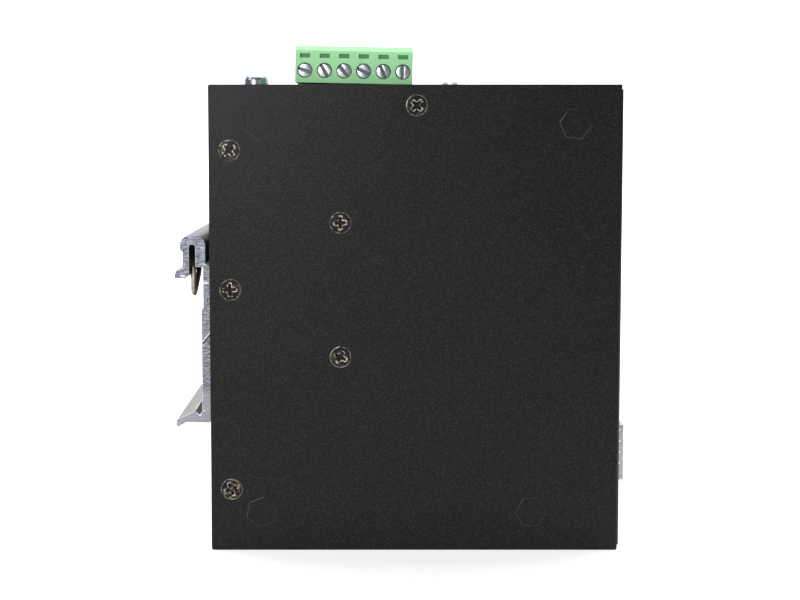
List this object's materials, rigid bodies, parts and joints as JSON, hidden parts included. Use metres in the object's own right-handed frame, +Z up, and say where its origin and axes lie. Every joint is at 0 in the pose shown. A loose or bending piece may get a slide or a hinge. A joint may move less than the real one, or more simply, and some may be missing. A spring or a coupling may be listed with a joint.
{
  "type": "din rail ethernet switch",
  "caption": "Flat upright black steel network switch case with an aluminium rail clip on its rear edge, a green screw terminal plug on top and ports on its narrow front.",
  "frame": {"origin": "centre of the case bottom face", "axes": "+Z up, +X out of the front face with the ports, -X to the rail clip, -Y the side with the screws seen in the picture"},
  "size_m": [0.1182, 0.0501, 0.1305],
  "materials": {
    "black_paint": "fine-textured black powder coat",
    "black_screw": "black zinc",
    "block_aluminium": "milled",
    "clip_aluminium": "plain extruded, ends rough from the saw",
    "can_aluminium": "drawn",
    "thermal_pad": "soft silicone",
    "chip_plastic": "moulded",
    "circuit_board": "solder mask",
    "zinc_steel": "bright zinc",
    "ferrite": "sintered",
    "gold_contact": "gold flash",
    "tin_contact": "tin plate",
    "cage_tin": "satin tin plate",
    "jack_nickel": "nickel plate",
    "green_plastic": "moulded",
    "spring_wire": "nickel-plated wire",
    "clear_plastic": "clear, polished",
    "led_white": "moulded",
    "white_plastic": "moulded"
  },
  "bodies": {
    "case": {"alarm_relay": "chip_plastic", "board_link": "chip_plastic", "board_screws": "zinc_steel", "board_spacers": "zinc_steel", "board_standoffs": "black_paint", "capacitors": "can_aluminium", "case_screws": "black_screw", "din_clip": "clip_aluminium", "din_clip_nuts": "zinc_steel", "din_clip_screws": "zinc_steel", "dip_switch_body": "chip_plastic", "front_wrap": "black_paint", "ground_nut": "zinc_steel", "ground_screw": "zinc_steel", "ground_washer": "zinc_steel", "header_pins": "tin_contact", "heat_block": "block_aluminium", "heat_block_screws": "black_screw", "light_pipe_holder": "chip_plastic", "light_pipes": "clear_plastic", "magnetics": "chip_plastic", "main_board": "circuit_board", "power_board": "circuit_board", "power_board_screws": "zinc_steel", "power_inductors": "ferrite", "power_transformer": "ferrite", "rear_channel": "black_paint", "rj45_contacts": "gold_contact", "rj45_insert_1": "chip_plastic", "rj45_insert_2": "chip_plastic", "rj45_insert_3": "chip_plastic", "rj45_insert_4": "chip_plastic", "rj45_shield_1": "jack_nickel", "rj45_shield_2": "jack_nickel", "rj45_shield_3": "jack_nickel", "rj45_shield_4": "jack_nickel", "sfp_cage": "cage_tin", "sfp_connector": "chip_plastic", "status_leds": "led_white", "switch_chip": "chip_plastic", "terminal_header": "green_plastic", "thermal_pad": "thermal_pad"},
    "plug": {"terminal_plug": "green_plastic", "plug_contacts": "tin_contact"},
    "spring": {"din_spring": "spring_wire"},
    "screw_1": {"terminal_screw_1": "zinc_steel"},
    "clamp_1": {"terminal_clamp_1": "tin_contact"},
    "screw_2": {"terminal_screw_2": "zinc_steel"},
    "clamp_2": {"terminal_clamp_2": "tin_contact"},
    "screw_3": {"terminal_screw_3": "zinc_steel"},
    "clamp_3": {"terminal_clamp_3": "tin_contact"},
    "screw_4": {"terminal_screw_4": "zinc_steel"},
    "clamp_4": {"terminal_clamp_4": "tin_contact"},
    "screw_5": {"terminal_screw_5": "zinc_steel"},
    "clamp_5": {"terminal_clamp_5": "tin_contact"},
    "screw_6": {"terminal_screw_6": "zinc_steel"},
    "clamp_6": {"terminal_clamp_6": "tin_contact"},
    "lever_1": {"dip_lever_1": "white_plastic"},
    "lever_2": {"dip_lever_2": "white_plastic"}
  },
  "joints": [
    {"name": "plug_pull", "type": "slide", "parent": "case", "child": "plug", "axis": [0, 0, 1], "range_m": [0, 0.009]},
    {"name": "spring_give", "type": "slide", "parent": "case", "child": "spring", "axis": [0, 0, 1], "range_m": [0, 0.0018], "stiffness_N_per_m": 4000},
    {"name": "screw_1_turn", "type": "hinge", "parent": "plug", "child": "screw_1", "pos_m": [-0.02862, -0.0125, 0.12394], "axis": [0, 1, 0], "range_deg": [0, 1440]},
    {"name": "clamp_1_rise", "type": "slide", "parent": "plug", "child": "clamp_1", "axis": [0, -1, 0], "range_m": [0, 0.002]},
    {"name": "screw_2_turn", "type": "hinge", "parent": "plug", "child": "screw_2", "pos_m": [-0.02355, -0.0125, 0.12384], "axis": [0, 1, 0], "range_deg": [0, 1440]},
    {"name": "clamp_2_rise", "type": "slide", "parent": "plug", "child": "clamp_2", "axis": [0, -1, 0], "range_m": [0, 0.002]},
    {"name": "screw_3_turn", "type": "hinge", "parent": "plug", "child": "screw_3", "pos_m": [-0.01847, -0.0125, 0.12375], "axis": [0, 1, 0], "range_deg": [0, 1440]},
    {"name": "clamp_3_rise", "type": "slide", "parent": "plug", "child": "clamp_3", "axis": [0, -1, 0], "range_m": [0, 0.002]},
    {"name": "screw_4_turn", "type": "hinge", "parent": "plug", "child": "screw_4", "pos_m": [-0.01339, -0.0125, 0.12365], "axis": [0, 1, 0], "range_deg": [0, 1440]},
    {"name": "clamp_4_rise", "type": "slide", "parent": "plug", "child": "clamp_4", "axis": [0, -1, 0], "range_m": [0, 0.002]},
    {"name": "screw_5_turn", "type": "hinge", "parent": "plug", "child": "screw_5", "pos_m": [-0.00831, -0.0125, 0.12355], "axis": [0, 1, 0], "range_deg": [0, 1440]},
    {"name": "clamp_5_rise", "type": "slide", "parent": "plug", "child": "clamp_5", "axis": [0, -1, 0], "range_m": [0, 0.002]},
    {"name": "screw_6_turn", "type": "hinge", "parent": "plug", "child": "screw_6", "pos_m": [-0.00323, -0.0125, 0.12345], "axis": [0, 1, 0], "range_deg": [0, 1440]},
    {"name": "clamp_6_rise", "type": "slide", "parent": "plug", "child": "clamp_6", "axis": [0, -1, 0], "range_m": [0, 0.002]},
    {"name": "lever_1_slide", "type": "slide", "parent": "case", "child": "lever_1", "axis": [0, 1, 0], "range_m": [0, 0.002]},
    {"name": "lever_2_slide", "type": "slide", "parent": "case", "child": "lever_2", "axis": [0, 1, 0], "range_m": [0, 0.002]}
  ],
  "couplings": [
    {"joint": "screw_1_turn", "follows": "clamp_1_rise", "rad_per_m": 12566},
    {"joint": "screw_2_turn", "follows": "clamp_2_rise", "rad_per_m": 12566},
    {"joint": "screw_3_turn", "follows": "clamp_3_rise", "rad_per_m": 12566},
    {"joint": "screw_4_turn", "follows": "clamp_4_rise", "rad_per_m": 12566},
    {"joint": "screw_5_turn", "follows": "clamp_5_rise", "rad_per_m": 12566},
    {"joint": "screw_6_turn", "follows": "clamp_6_rise", "rad_per_m": 12566}
  ]
}
